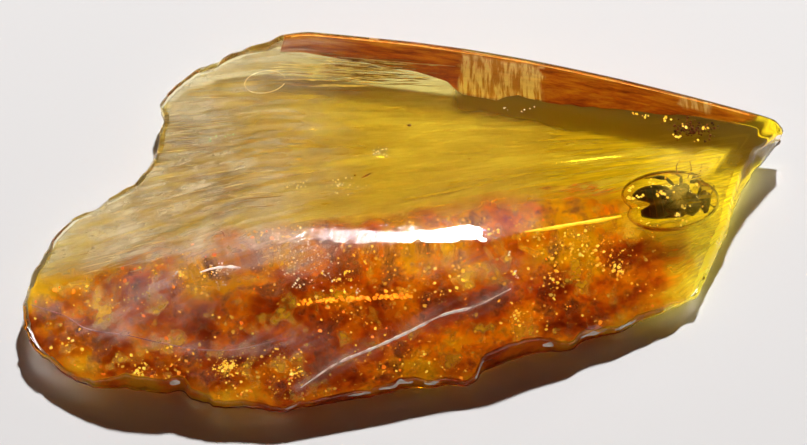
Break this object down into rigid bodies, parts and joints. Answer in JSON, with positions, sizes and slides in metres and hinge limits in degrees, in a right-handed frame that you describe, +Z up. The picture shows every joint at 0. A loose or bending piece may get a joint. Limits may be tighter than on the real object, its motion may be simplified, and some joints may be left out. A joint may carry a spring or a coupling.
{
  "type": "insect in amber",
  "caption": "Loose chip of clear golden amber, part polished and part broken, with a small bee sealed near its pointed end.",
  "frame": {"origin": "centre of the chip's box on the surface it rests on", "axes": "+X along the chip towards its pointed end, +Z up through its thickness, -Y towards the domed front"},
  "size_m": [0.036, 0.0196, 0.005],
  "materials": {
    "clear_amber": "clear golden to orange amber, polished above, broken and crusted at the front",
    "dark_cuticle": "dark brown shining insect cuticle with golden glints"
  },
  "bodies": {
    "root": {"amber_lower": "clear_amber", "amber_upper": "clear_amber", "insect": "dark_cuticle"}
  },
  "joints": []
}
